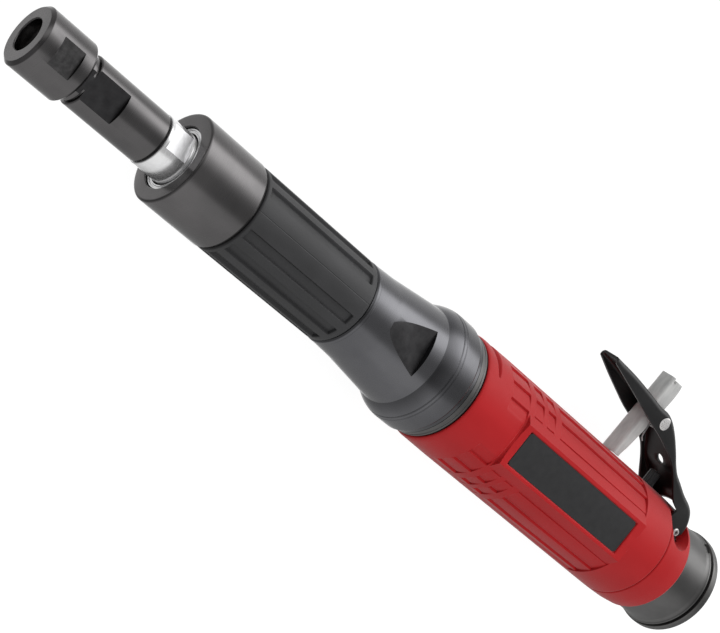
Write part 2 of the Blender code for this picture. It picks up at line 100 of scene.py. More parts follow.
def rounded(points, segments=5):
    """A profile whose corners with a third value are rounded off by about that much."""
    out = []
    for i, point in enumerate(points):
        if len(point) == 2 or i in (0, len(points) - 1):
            out.append(tuple(point[:2]))
            continue
        before, here, after = (Vector(points[j][:2]) for j in (i - 1, i, i + 1))
        start = here + (before - here).normalized() * point[2]
        end = here + (after - here).normalized() * point[2]
        for k in range(segments + 1):
            u = k / segments
            out.append(tuple((1 - u) ** 2 * start + 2 * u * (1 - u) * here + u * u * end))
    return out


def turned(name, outer, bore=(), steps=144, matrix=SPINDLE_LINE):
    """A closed turned solid. Both profiles are (station, radius) pairs in millimetres, front to rear."""
    loop = rounded(outer) + list(reversed(rounded(bore)))
    shape = bmesh.new()
    rings = []
    for along, radius in loop:
        turns = [2 * math.pi * i / steps for i in range(steps)]
        ring = [(along * MM, radius * math.sin(a) * MM, radius * math.cos(a) * MM) for a in turns]
        rings.append([shape.verts.new(place) for place in ring])
    pairs = list(zip(rings, rings[1:]))
    if bore:
        pairs.append((rings[-1], rings[0]))
    else:
        shape.faces.new(rings[0])
        shape.faces.new(rings[-1])
    for one, other in pairs:
        for i in range(steps):
            j = (i + 1) % steps
            shape.faces.new((one[i], one[j], other[j], other[i]))
    return from_shape(name, shape, matrix)


def block(name, low, high, turn=0.0):
    """A box between two (station, height, side) corners, turned about the spindle line in degrees."""
    size = Vector(high) - Vector(low)
    middle = (Vector(high) + Vector(low)) / 2
    shape = bmesh.new()
    place = Matrix.Translation(middle * MM) @ Matrix.Diagonal((*(size * MM), 1.0))
    bmesh.ops.create_cube(shape, size=1.0, matrix=place)
    return from_shape(name, shape, SPINDLE_LINE @ Matrix.Rotation(-math.radians(turn), 4, "X"))


def outline_prism(name, outline, low, high):
    """A (station, height) outline carried from side low to side high."""
    shape = bmesh.new()
    rings = [[shape.verts.new(Vector((x, y, z)) * MM) for x, y in outline] for z in (low, high)]
    shape.faces.new(rings[0])
    shape.faces.new(rings[1])
    for i in range(len(outline)):
        j = (i + 1) % len(outline)
        shape.faces.new((rings[0][i], rings[0][j], rings[1][j], rings[1][i]))
    return from_shape(name, shape, SPINDLE_LINE)


def arc(centre, radius, start, end, steps):
    """Points on an arc, in degrees, ends included."""
    turns = [math.radians(start + (end - start) * i / steps) for i in range(steps + 1)]
    return [(centre[0] + radius * math.cos(a), centre[1] + radius * math.sin(a)) for a in turns]


def apply_modifiers(piece):
    graph = bpy.context.evaluated_depsgraph_get()
    mesh = bpy.data.meshes.new_from_object(piece.evaluated_get(graph))
    old = piece.data
    piece.modifiers.clear()
    piece.data = mesh
    bpy.data.meshes.remove(old)


def cut(piece, tools):
    """Cuts the tools from the piece and removes them."""
    for tool in tools:
        modifier = piece.modifiers.new(tool.name, "BOOLEAN")
        modifier.operation = "DIFFERENCE"
        modifier.object = tool
    apply_modifiers(piece)
    for tool in tools:
        bpy.data.objects.remove(tool)


CUTTER_HALF, CUTTER_DEEP = 40, 30       # a flat's cutter reaches this far past the tool


def spanner_flats(piece, front, rear, height, angle):
    """Two opposite flats, this far from the spindle line, the first one facing angle."""
    low, high = (front, -CUTTER_HALF, height), (rear, CUTTER_HALF, height + CUTTER_DEEP)
    cut(piece, [block("flat", low, high, angle + turn) for turn in (0, 180)])


def finish_flats(piece, height, angle, look):
    """Gives those two flats a finish of their own."""
    piece.data.materials.append(LOOKS[look])
    for turn in (angle, angle + 180):
        turn = math.radians(turn)
        out = Vector((0, math.sin(turn), math.cos(turn)))
        for face in piece.data.polygons:
            level = (face.center - AXIS_PLACE).dot(out) / MM
            if abs(level - height) < 0.02 and face.normal.dot(out) > 0.999:
                face.material_index = 1


def soften(piece, width, angle=40, segments=2):
    """Rounds the edges that turn by more than an angle."""
    shape = bmesh.new()
    shape.from_mesh(piece.data)
    bmesh.ops.remove_doubles(shape, verts=shape.verts, dist=0.002 * MM)
    shape.to_mesh(piece.data)
    shape.free()
    bevel = piece.modifiers.new("edges", "BEVEL")
    bevel.width = width * MM
    bevel.segments = segments
    bevel.limit_method = "ANGLE"
    bevel.angle_limit = math.radians(angle)
    apply_modifiers(piece)


def sleeve(name, stations, angles, radius, bore):
    """A tube whose outside is a fine grid: radius(station, angle) in millimetres and degrees."""
    along, turn = np.meshgrid(stations, angles, indexing="ij")
    outer = radius(along, turn)
    rows, columns = outer.shape
    tube = np.stack([along, outer * np.sin(np.radians(turn)), outer * np.cos(np.radians(turn))], -1)
    rims = []
    inner = np.stack([bore * np.sin(np.radians(angles)), bore * np.cos(np.radians(angles))], -1)
    for station in (stations[-1], stations[0]):
        rims.append(np.column_stack([np.full(columns, station), inner]))
    points = np.concatenate([tube.reshape(-1, 3), *rims]) * MM + np.array(AXIS_PLACE)
    index = np.arange(len(points)).reshape(rows + 2, columns)
    ahead = np.roll(index, -1, axis=1)
    below = np.roll(index, -1, axis=0)
    corner = np.roll(below, -1, axis=1)
    faces = np.stack([index, ahead, corner, below], -1).reshape(-1, 4)
    mesh = bpy.data.meshes.new(name)
    mesh.from_pydata(points.tolist(), [], faces.tolist())
    shape = bmesh.new()
    shape.from_mesh(mesh)
    bmesh.ops.recalc_face_normals(shape, faces=shape.faces)
    shape.to_mesh(mesh)
    shape.free()
    return new_piece(name, mesh)


def fine_near(low, high, coarse, marks, reach, count=2):
    """Grid positions: even steps, with close ones on both sides of each mark."""
    values = list(np.linspace(low, high, int(round((high - low) / coarse)) + 1))
    for mark in marks:
        values = [v for v in values if abs(v - mark) > reach * 1.2 or v in (low, high)]
        values += [mark + reach * k / count for k in range(-count, count + 1)]
    return np.array(sorted(set(round(v, 4) for v in values if low <= v <= high)))


def step(value, mark, width):
    """0 before a mark and 1 after it, smoothly."""
    u = np.clip((value - mark) / width + 0.5, 0, 1)
    return u * u * (3 - 2 * u)


def window(value, low, high, width):
    """1 between low and high and 0 outside, smoothly."""
    return step(value, low, width) * (1 - step(value, high, width))


# ---- materials ---------------------------------------------------------------------------------
def add(tree, kind, **values):
    """A node with its settings (lower case) and its inputs (quoted names in 'inputs') filled in."""
    made = tree.nodes.new(kind)
    for name, value in values.pop("inputs", {}).items():
        made.inputs[name].default_value = value
    for name, value in values.items():
        setattr(made, name, value)
    return made


EVEN = (1, 1, 1)           # a noise that isn't stretched along any axis


def noise_factor(tree, coords, scale, stretch, detail=3.0):
    """A noise: scale is in features per metre, and stretch works along each axis."""
    place = add(tree, "ShaderNodeMapping", inputs={"Scale": stretch})
    noise = add(tree, "ShaderNodeTexNoise", inputs={"Scale": scale, "Detail": detail, "Roughness": 0.6})
    tree.links.new(coords.outputs["Object"], place.inputs["Vector"])
    tree.links.new(place.outputs["Vector"], noise.inputs["Vector"])
    return noise.outputs["Fac"]


def material(name, dark, light, roughness, metallic=0.0, mottle=(90, EVEN), grain=(2500, EVEN),
             depth=0.02, spread=0.06, **sockets):
    """The mottle mixes dark and light, and the fine grain spreads the roughness and makes the bump."""
    made = bpy.data.materials.new(name)
    made.use_nodes = True
    tree = made.node_tree
    shader = tree.nodes["Principled BSDF"]
    shader.inputs["Metallic"].default_value = metallic
    for socket, value in sockets.items():
        shader.inputs[socket.replace("_", " ")].default_value = value
    coords = add(tree, "ShaderNodeTexCoord")
    factor = noise_factor(tree, coords, *mottle)
    spread_out = add(tree, "ShaderNodeMapRange", inputs={"From Min": 0.3, "From Max": 0.7})
    colour = add(tree, "ShaderNodeMix", data_type="RGBA")
    colour.inputs["A"].default_value = (*dark, 1)
    colour.inputs["B"].default_value = (*light, 1)
    tree.links.new(factor, spread_out.inputs["Value"])
    tree.links.new(spread_out.outputs["Result"], colour.inputs["Factor"])
    tree.links.new(colour.outputs["Result"], shader.inputs["Base Color"])
    rough = add(tree, "ShaderNodeMapRange", inputs={
        "From Min": 0.3, "From Max": 0.7, "To Min": roughness - spread, "To Max": roughness + spread})
    fine = noise_factor(tree, coords, *grain, detail=2.0)
    tree.links.new(fine, rough.inputs["Value"])
    tree.links.new(rough.outputs["Result"], shader.inputs["Roughness"])
    bump = add(tree, "ShaderNodeBump", inputs={"Strength": 0.6, "Distance": depth * MM})
    tree.links.new(fine, bump.inputs["Height"])
    tree.links.new(bump.outputs["Normal"], shader.inputs["Normal"])
    return made


ROUND_LINES = (6000, (1, 0.02, 0.02))     # lathe marks, running round the tool
LONG_LINES = (3500, (0.03, 1, 1))         # drawn marks, running along the tool
HIGH_LINES = (3500, (1, 0.03, 1))         # drawn marks, running up from the tool
GRAIN = (2600, EVEN)

LOOKS = {
    "gunmetal_steel": material("gunmetal", (0.100, 0.097, 0.098), (0.135, 0.130, 0.131), 0.25, 1.0,
                               mottle=(60, (0.6, 1, 1)), grain=ROUND_LINES, depth=0.003, spread=0.03),
    "satin_grey": material("satin_grey", (0.100, 0.100, 0.107), (0.138, 0.138, 0.146), 0.25, 1.0,
                           mottle=(45, (0.6, 1, 1)), grain=ROUND_LINES, depth=0.003, spread=0.03),
    "exhaust_steel": material("exhaust_steel", (0.125, 0.123, 0.122), (0.17, 0.168, 0.166), 0.40, 1.0,
                              mottle=(60, (0.6, 1, 1)), grain=ROUND_LINES, depth=0.006, spread=0.05),
    "milled_steel": material("milled_steel", (0.050, 0.049, 0.050), (0.10, 0.098, 0.099), 0.42, 0.9,
                             mottle=(500, EVEN), grain=HIGH_LINES, depth=0.02, spread=0.10),
    "milled_dark": material("milled_dark", (0.040, 0.039, 0.041), (0.062, 0.061, 0.063), 0.44, 0.9,
                            mottle=(260, EVEN), grain=HIGH_LINES, depth=0.012, spread=0.06),
    "brushed_steel": material("brushed_steel", (0.66, 0.66, 0.67), (0.80, 0.80, 0.81), 0.40, 0.6,
                              mottle=(400, (1, 0.2, 1)), grain=HIGH_LINES, depth=0.02),
    "ground_steel": material("ground_steel", (0.78, 0.78, 0.78), (0.93, 0.93, 0.94), 0.22, 0.85,
                             mottle=(140, EVEN), grain=ROUND_LINES, depth=0.006),
    "collet_steel": material("collet_steel", (0.34, 0.33, 0.32), (0.52, 0.51, 0.50), 0.32, 1.0,
                             grain=ROUND_LINES, depth=0.008),
    "bearing_steel": material("bearing_steel", (0.62, 0.62, 0.62), (0.78, 0.78, 0.78), 0.12, 1.0,
                              grain=ROUND_LINES, depth=0.003, spread=0.03),
    "spring_steel": material("spring_steel", (0.33, 0.33, 0.34), (0.5, 0.5, 0.5), 0.3, 1.0, depth=0.01),
    "grip_rubber": material("grip_rubber", (0.027, 0.027, 0.028), (0.038, 0.038, 0.040), 0.50,
                            mottle=(70, (0.5, 1, 1)), grain=GRAIN, depth=0.04,
                            Specular_IOR_Level=0.35),
    "red_handle": material("red_handle", (0.375, 0.0085, 0.0105), (0.44, 0.012, 0.015), 0.52,
                           mottle=(40, (0.4, 1, 1)), grain=GRAIN, depth=0.07, spread=0.07,
                           Specular_IOR_Level=0.2, Sheen_Weight=0.22, Sheen_Roughness=0.35),
    "label_black": material("label_black", (0.022, 0.022, 0.023), (0.028, 0.028, 0.029), 0.45,
                            mottle=(300, EVEN), grain=GRAIN, depth=0.01, Specular_IOR_Level=0.3),
    "cast_aluminium": material("cast_aluminium", (0.36, 0.36, 0.36), (0.52, 0.52, 0.52), 0.5, 0.9,
                               grain=(1500, EVEN), depth=0.06),
    "motor_steel": material("motor_steel", (0.34, 0.34, 0.35), (0.5, 0.5, 0.5), 0.33, 1.0,
                            grain=ROUND_LINES, depth=0.01),
    "vane_composite": material("vane_composite", (0.22, 0.13, 0.06), (0.38, 0.26, 0.14), 0.6,
                               mottle=(900, (0.05, 1, 1)), grain=LONG_LINES, depth=0.03),
    "valve_brass": material("valve_brass", (0.46, 0.32, 0.11), (0.62, 0.45, 0.19), 0.3, 1.0,
                            grain=HIGH_LINES, depth=0.01),
    "plunger_black": material("plunger_black", (0.016, 0.016, 0.017), (0.026, 0.026, 0.027), 0.35,
                              grain=GRAIN, depth=0.02),
    "muffler_felt": material("muffler_felt", (0.16, 0.14, 0.11), (0.34, 0.30, 0.24), 0.95,
                             mottle=(1400, EVEN), grain=(1800, EVEN), depth=0.25,
                             Sheen_Weight=0.4),
    "fitting_steel": material("fitting_steel", (0.28, 0.275, 0.26), (0.42, 0.41, 0.39), 0.28, 1.0,
                              mottle=(120, EVEN), grain=ROUND_LINES, depth=0.01),
    "lever_black": material("lever_black", (0.008, 0.008, 0.0083), (0.014, 0.014, 0.0145), 0.36, 0.0,
                            mottle=(110, (0.5, 1, 1)), grain=GRAIN, depth=0.03, spread=0.06,
                            Specular_IOR_Level=0.4),
    "pin_chrome": material("pin_chrome", (0.68, 0.67, 0.66), (0.86, 0.85, 0.84), 0.30, 0.7,
                           mottle=(500, EVEN), grain=GRAIN, depth=0.01),
    "lock_steel": material("lock_steel", (0.50, 0.50, 0.495), (0.64, 0.64, 0.63), 0.45, 0.35,
                           mottle=(350, (1, 0.3, 1)), grain=HIGH_LINES, depth=0.02),
}


def hand_over(piece, nodes, material_slot, body, sharp=SHARP, look=None):
    """Gives a finished piece its look, its shading and its place in the frame."""
    piece.data.materials.clear()
    piece.data.materials.append(LOOKS[look or material_slot])
    piece.data.shade_smooth()
    piece.data.set_sharp_from_angle(angle=sharp)
    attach(piece, body)
    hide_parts(*nodes)


# ---- collet, nut and spindle -------------------------------------------------------------------
# Each pair of spanner flats: distance from the spindle line, and the angle that the first one faces.
NUT_FLATS = (10.65, 8)
EXTENSION_FLATS = (8.1, 1)
SPINDLE_FLATS = (8.95, 32)
CLAMP_FLATS = (18.8, 12)


def make_collet_nut():
    outer = [
        (NUT_FACE, 10.4), (NUT_FACE, 10.75, 0.12), (-2.1, 11.9, 0.2),
        (16.5, 11.9, 0.2), (17.6, 10.9, 0.2), (17.6, 10.2),
    ]
    bore = [(NUT_FACE, 6.7), (-2.9, 6.34, 0.2), (5.0, 6.34), (6.4, 7.4), (6.6, 8.95), (17.6, 8.95)]
    nut = turned("collet_nut_turned", outer, bore)
    spanner_flats(nut, 3.2, 12.4, *NUT_FLATS)
    soften(nut, 0.12)
    hand_over(nut, ["collet_nut"], "gunmetal_steel", "spindle")
    finish_flats(nut, *NUT_FLATS, "milled_steel")


def make_collet():
    outer = [(2.2, 5.0), (2.2, 5.5, 0.2), (2.8, 5.9), (4.9, 6.1), (6.4, 6.95), (7.5, 6.95), (23.0, 5.3)]
    bore = [(2.2, 3.9), (2.9, 3.05, 0.2), (23.0, 3.05)]
    collet = turned("collet_slit", outer, bore, steps=96)
    slits = [block("slit", (-4, -9, -0.4), (18, 9, 0.4), -angle) for angle in (15, 75, 135)]
    cut(collet, slits)
    soften(collet, 0.1)
    hand_over(collet, ["collet"], "collet_steel", "spindle")


def make_spindle_extension():
    outer = [
        (8.2, 8.2), (8.7, 8.6), (17.65, 8.6), (17.65, 9.3), (19.9, 9.3), (20.1, 8.5), (20.8, 8.5),
        (20.8, 9.7, 0.2), (21.3, 10.0, 0.2), (53.0, 10.0, 0.2), (53.4, 9.7, 0.1), (53.7, 9.5),
    ]
    bore = [(8.2, 7.3), (23.5, 5.65), (24.0, 4.0), (38.0, 4.0), (38.0, 6.25), (53.7, 6.25)]
    piece = turned("spindle_extension_turned", outer, bore)
    spanner_flats(piece, 17.0, 34.9, *EXTENSION_FLATS)
    soften(piece, 0.12)
    hand_over(piece, ["spindle_extension"], "gunmetal_steel", "spindle")
    finish_flats(piece, *EXTENSION_FLATS, "milled_dark")


def make_spindle():
    outer = [
        (38.8, 5.9), (54.1, 5.9), (54.1, 10.1, 0.15), (54.4, 10.3, 0.1), (64.6, 10.3, 0.1), (64.9, 10.0),
        (65.2, 10.3, 0.1), (67.8, 10.3), (67.8, 8.2), (69.3, 8.2), (69.3, 6.7), (79.5, 6.7), (79.5, 7.6),
        (146.0, 7.6), (146.0, 6.7), (156.0, 6.7), (156.0, 5.7), (176.0, 5.7),
    ]
    piece = turned("spindle_ground", outer)
    spanner_flats(piece, 55.5, 64.5, *SPINDLE_FLATS)
    soften(piece, 0.1)
    hand_over(piece, ["spindle"], "ground_steel", "spindle")
    finish_flats(piece, *SPINDLE_FLATS, "brushed_steel")


# ---- nose, grip and clamp housing --------------------------------------------------------------
def make_nose():
    outer = [
        (65.0, 13.2), (65.0, 18.4, 1.1), (93.0, 18.4, 0.1), (94.4, 17.6, 0.2), (94.4, 15.5),
        (172.0, 15.5),
    ]
    bore = [
        (65.0, 13.1), (65.4, 12.83, 0.1), (79.2, 12.83), (79.2, 11.4),
        (145.9, 11.4), (145.9, 12.83), (172.0, 12.83),
    ]
    nose = turned("nose_turned", outer, bore, steps=168)
    hand_over(nose, ["extension_housing"], "gunmetal_steel", "housing")


def make_bearing_retainer():
    outer = [(66.0, 12.5), (69.2, 12.5)]
    ridged = [
        (66.0, 12.1, 0.1), (66.5, 11.9), (66.5, 11.5), (66.0, 11.3, 0.1),
        (66.0, 10.9), (66.3, 10.7), (69.2, 10.7),
    ]
    retainer = turned("bearing_retainer_ridged", outer, ridged)
    hand_over(retainer, ["bearing_retainer"], "ground_steel", "housing")


GRIP_FRONT, GRIP_REAR = 94.7, 156.3
GRIP_PROFILE = ([GRIP_FRONT, 95.1, 95.6, 155.4, 155.9, GRIP_REAR],
                [17.6, 18.05, 18.2, 18.2, 18.05, 17.7])
GRIP_BORE = 15.8
POCKET_FRONT, POCKET_REAR = 96.6, 153.0
POCKET_HALF = 6.6          # half the angle of one pocket, in degrees
POCKET_DEPTH = 1.3
GRIP_SEAM = 14.2           # angle of the mould seam, with another one opposite
SEAM_DEPTH = 0.12


def pocket_angles():
    """The pockets lie mirrored on both sides of the seam, three in each quarter."""
    nearest, pitch = 28.6, 25.7
    quarter = [nearest + pitch * k for k in range(3)]
    half = quarter + [180 - a for a in quarter]
    return [GRIP_SEAM + a for a in half] + [GRIP_SEAM - a for a in half]


def grip_radius(along, turn):
    radius = np.interp(along, *GRIP_PROFILE)
    depth = np.zeros_like(radius)
    for centre in pocket_angles():
        off = (turn - centre + 180) % 360 - 180
        depth = np.maximum(depth, window(off, -POCKET_HALF, POCKET_HALF, 1.6))
    depth *= window(along, POCKET_FRONT, POCKET_REAR, 0.5)
    seam = np.zeros_like(radius)
    for angle in (GRIP_SEAM, GRIP_SEAM + 180):
        off = (turn - angle + 180) % 360 - 180
        seam = np.maximum(seam, np.exp(-(off / 0.35) ** 2))
    return radius - POCKET_DEPTH * depth - SEAM_DEPTH * seam


def make_grip():
    marks = [a + s * POCKET_HALF for a in pocket_angles() for s in (-1, 1)]
    marks += [GRIP_SEAM, GRIP_SEAM + 180]
    marks = [(m + 360) % 360 for m in marks]
    angles = fine_near(0, 359.2, 0.8, marks, 0.8)
    stations = fine_near(GRIP_FRONT, GRIP_REAR, 2.0, [95.1, POCKET_FRONT, POCKET_REAR, 155.9], 0.28)
    grip = sleeve("grip_moulded", stations, angles, grip_radius, GRIP_BORE)
    hand_over(grip, ["grip_sleeve"], "grip_rubber", "housing", math.radians(50))


CLAMP_RADIUS = 25.2
SHOULDER_CORNER = (195.0, 21.95)
SHOULDER_SLOPE = 38        # how steeply the shoulder leaves its corner with the cone, in degrees
FINE_LINES, FINE_DEPTH = (201.0, 202.6), 0.08


def shoulder():
    """The shoulder rounds off from its corner with the cone into the cylinder, past two fine lines."""
    slope = math.radians(SHOULDER_SLOPE)
    radius = (CLAMP_RADIUS - SHOULDER_CORNER[1]) / (1 - math.cos(slope))
    centre = SHOULDER_CORNER[0] + radius * math.sin(slope)
    dips = {centre - radius * math.sin(slope * i / 12): 0 for i in range(13)}
    for line in FINE_LINES:
        dips.update({line - 0.2: 0, line: FINE_DEPTH, line + 0.3: FINE_DEPTH, line + 0.5: 0})
    return [(station, CLAMP_RADIUS - radius + math.sqrt(radius ** 2 - (centre - station) ** 2) - dip)
            for station, dip in sorted(dips.items())]


def make_clamp_housing():
    outer = [
        (156.6, 17.6), (157.2, 18.3, 0.3), (158.3, 18.35), (158.5, 18.28), (169.5, 18.9, 0.8),
        *shoulder(), (210.7, CLAMP_RADIUS, 0.1), (211.5, 24.65, 0.1), (213.2, 24.4),
    ]
    bore = [(156.6, 15.8), (172.3, 15.8), (172.3, 10.8), (203.6, 10.8), (203.6, 21.6), (213.2, 21.6)]
    housing = turned("clamp_housing_turned", outer, bore, steps=168)
    spanner_flats(housing, 169.0, 189.1, *CLAMP_FLATS)
    soften(housing, 0.12)
    hand_over(housing, ["clamp_housing"], "satin_grey", "housing", math.radians(16))
    finish_flats(housing, *CLAMP_FLATS, "milled_dark")


def make_clamp_ring():
    outer = [
        (213.4, 24.0), (213.5, 24.35, 0.1), (215.3, 24.1, 0.1), (215.5, 23.8), (215.9, 23.8),
        (216.1, 24.05, 0.1), (217.1, 23.9, 0.2), (217.4, 23.2),
    ]
    ring = turned("clamp_ring_turned", outer, [(213.4, 21.6), (217.4, 21.6)], steps=168)
    hand_over(ring, ["clamp_ring"], "satin_grey", "housing", look="exhaust_steel")


# ---- red handle --------------------------------------------------------------------------------
HANDLE_FRONT, SEAM, RED_REAR = 218.0, 351.3, 368.7
HANDLE_BORE = 23.5
TREAD_RISE = 0.44          # each tread facet starts this high and ends this low
TREAD_ROOT = 0.22          # depth of the line scored along each facet's edge
TREAD_SINK = 0.28          # the whole tread lies this much deeper than the handle round it
DEEPER_FROM, DEEPER_BY = 285, 0.5         # and sinks deeper from this station to the tread's end
TREAD_LINES = [32.3, 50.1, 68.0]          # angles from the name plate, mirrored about the lever's plane
TREAD_FROM, TREAD_TO = TREAD_LINES[0] - 13, TREAD_LINES[-1] + 12
TREAD_GROUPS = [(233.6, 245.2), (249.2, 254.6), (257.7, 262.7), (267.0, 331.4)]
PAD_FRONT, PAD_REAR = 246.0, 332.0
PAD_TOP, PAD_HALF, PAD_SLOPE = 25.1, 9.5, 49.0
PAD_BOW, BOW_END = 0.9, 22.5              # the frame's front edge bows by this much, out to this angle
MOAT_DEPTH, MOAT_END = 0.45, 26.5         # a shallow ditch in front of the frame, out to this angle
RECESS_FRONT, RECESS_REAR, RECESS_HALF, RECESS_FLOOR = 249.4, 326.9, 7.95, 24.0
PLATE_MIDDLE, PLATE_LONG, PLATE_WIDE = 288.15, 76.7, 15.4
RECESS_EDGE = math.degrees(math.atan(RECESS_HALF / PAD_TOP))
PAD_EDGE = math.degrees(math.atan(PAD_HALF / PAD_TOP))
HANDLE_PROFILE = ([218.0, 218.35, 218.9, 220.2, 235.0, 279.0, 345.0, 350.6, 351.0, 351.3],
                  [23.8, 24.15, 24.35, 24.55, 24.8, 25.0, 25.3, 25.3, 25.2, 24.9])
FINGER_GROOVE, GROOVE_DEPTH = 224.6, 2.1  # the crescent in front of the lever
GROOVE_SPREAD = 50         # it ends this many degrees from the lever's plane


def from_plate(turn):
    """Angles from the name plate, 0 to 180 on both sides."""
    return np.abs((turn + 180) % 360 - 180)


def fold(turn):
    """Angles folded onto the quarter from the name plate (0) to the lever's plane (90)."""
    turn = from_plate(turn)
    return np.where(turn > 90, 180 - turn, turn)


def tread(along, turn):
    """Facets like shingles: each steps up at its line and falls to the next one."""
    angle = fold(turn)
    pitch = TREAD_LINES[1] - TREAD_LINES[0]
    profile = np.zeros_like(angle)
    for line in TREAD_LINES:
        rise = np.clip(1 - (angle - line) / (pitch / 2), 0, 1) * step(angle, line, 0.8)
        fall = np.clip(1 - (line - angle) / (pitch / 2), 0, 1) * (1 - step(angle, line, 0.8))
        root = np.exp(-((angle - line + 0.7) / 0.55) ** 2)
        profile += TREAD_RISE * (rise - fall) - TREAD_ROOT * root
    active = np.zeros_like(angle)
    for front, rear in TREAD_GROUPS:
        active = np.maximum(active, window(along, front, rear, 0.3))
    strip = np.clip((angle - TREAD_FROM) / 3, 0, 1) * np.clip((TREAD_TO - angle) / 5, 0, 1)
    deeper = np.clip((along - DEEPER_FROM) / (TREAD_GROUPS[-1][1] - DEEPER_FROM), 0, 1)
    sink = TREAD_SINK + DEEPER_BY * deeper
    return (profile - sink * strip) * active


def pad(along, turn):
    """Radius of the flat raised frame round the name plate, and 0 away from it."""
    angle = from_plate(turn)
    near = np.minimum(angle, 60)
    top = PAD_TOP / np.cos(np.radians(near))
    slope = math.radians(PAD_SLOPE)
    reach = PAD_TOP * math.cos(slope) + PAD_HALF * math.sin(slope)
    side = reach / np.cos(np.radians(near) - slope)
    inside = window(along, PAD_FRONT + pad_bow(angle), PAD_REAR, 0.5) * (angle < 40)
    return np.minimum(top, side) * inside


def pad_bow(angle):
    """How far the frame's front edge is off the line through its corners: ahead of it where negative."""
    return -PAD_BOW * np.clip(1 - (angle / BOW_END) ** 2, 0, 1)


def handle_radius(along, turn):
    body = np.interp(along, *HANDLE_PROFILE)
    radius = body + tread(along, turn)
    angle = from_plate(turn)
    moat = np.exp(-((along - PAD_FRONT - pad_bow(angle) + 0.5) / 0.4) ** 2)
    radius = radius - MOAT_DEPTH * moat * (1 - step(angle, MOAT_END, 1.5))
    raised = np.maximum(radius, np.where(angle < TREAD_LINES[0], pad(along, turn), 0))
    recess = window(along, RECESS_FRONT, RECESS_REAR, 0.4)
    recess = recess * (1 - step(angle, RECESS_EDGE, 0.9))
    floor = RECESS_FLOOR / np.cos(np.radians(np.minimum(angle, 60)))
    raised = raised * (1 - recess) + floor * recess
    from_lever = np.abs(angle - 90) + np.where(np.sin(np.radians(turn)) < 0, 90, 0)
    crescent = np.clip(1 - (from_lever / GROOVE_SPREAD) ** 2, 0, 1)
    half = 0.6 + 1.9 * crescent
    groove = np.clip(1 - np.abs(along - FINGER_GROOVE) / half, 0, 1)
    return raised - GROOVE_DEPTH * crescent ** 0.35 * groove * groove * (3 - 2 * groove)


def make_handle():
    """The grid is fine at the tread's lines, at the frame's edges and across the crescent."""
    edges = TREAD_LINES + [180 - line for line in TREAD_LINES] + [RECESS_EDGE, PAD_EDGE]
    marks = [side * edge for side in (-1, 1) for edge in edges]
    angles = fine_near(0, 359.0, 1.0, [(m + 360) % 360 for m in marks], 0.55)
    ends = [value for group in TREAD_GROUPS for value in group]
    ends += [PAD_REAR, RECESS_FRONT, RECESS_REAR]
    stations = fine_near(HANDLE_FRONT, SEAM, 1.6, ends, 0.28)
    crescent, pad_front = np.linspace(222.0, 227.2, 27), np.linspace(243.4, 247.2, 22)
    extra = [218.35, 218.9, 220.2, 350.6, 351.0, *crescent, *pad_front]
    stations = np.array(sorted(set(np.round(np.concatenate([stations, extra]), 4))))
    handle = sleeve("red_handle_moulded", stations, angles, handle_radius, HANDLE_BORE)
    hole = turned("hole", [(20.0, 3.4), (30.0, 3.4)], steps=48, matrix=line_up(at(PLUNGER), "y"))
    cut(handle, [hole])
    hand_over(handle, ["handle_sleeve"], "red_handle", "housing", math.radians(50))


PIN = (359.6, 16.4)        # station and height of the lever's hinge
SLOT_CENTRE, SLOT_RADIUS, SLOT_INNER = (358.8, 18.2), 7.2, 10.3


def make_rear_ring():
    """The short red ring, with a slot on each side for the lever's ears."""
    outer = [(351.6, 24.9), (352.0, 25.3, 0.3), (361.0, 25.0, 2.0), (367.6, 24.2, 0.5), (RED_REAR, 23.3)]
    ring = turned("rear_ring_moulded", outer, [(351.6, 18.9), (RED_REAR, 18.9)], steps=168)
    bottom = arc(SLOT_CENTRE, SLOT_RADIUS, 180, 360, 24)
    front, rear = SLOT_CENTRE[0] - SLOT_RADIUS, SLOT_CENTRE[0] + SLOT_RADIUS
    outline = [(front, 32.0)] + bottom + [(rear, 32.0)]
    sides = ((SLOT_INNER, 30), (-30, -SLOT_INNER))
    slots = [outline_prism("slot", outline, low, high) for low, high in sides]
    hole = turned("hole", [(-20, 1.9), (20, 1.9)], steps=32, matrix=line_up(at(*PIN), "z"))
    cut(ring, slots + [hole])
    soften(ring, 0.3, segments=3)
    hand_over(ring, ["handle_rear_ring"], "red_handle", "housing")


def make_name_plate():
    """A blank plate in the recess of the handle's frame."""
    low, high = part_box("label_plate")
    shape = bmesh.new()
    size = high - low
    middle = Vector((at(PLATE_MIDDLE).x, (low.y + high.y) / 2, (low.z + high.z) / 2))
    place = Matrix.Translation(middle) @ Matrix.Diagonal((PLATE_LONG * MM, PLATE_WIDE * MM, size.z, 1.0))
    bmesh.ops.create_cube(shape, size=1.0, matrix=place)
    corners = [e for e in shape.edges if abs((e.verts[0].co - e.verts[1].co).z) > size.z / 2]
    bmesh.ops.bevel(shape, geom=corners, offset=0.6 * MM, segments=4, affect="EDGES")
    plate = from_shape("name_plate_blank", shape)
    soften(plate, 0.08)
    hand_over(plate, ["label_plate"], "label_black", "housing")


# ---- rear end ----------------------------------------------------------------------------------
NOTCH_ANGLE = 62           # angle of the exhaust ring's first notch, with the other one opposite


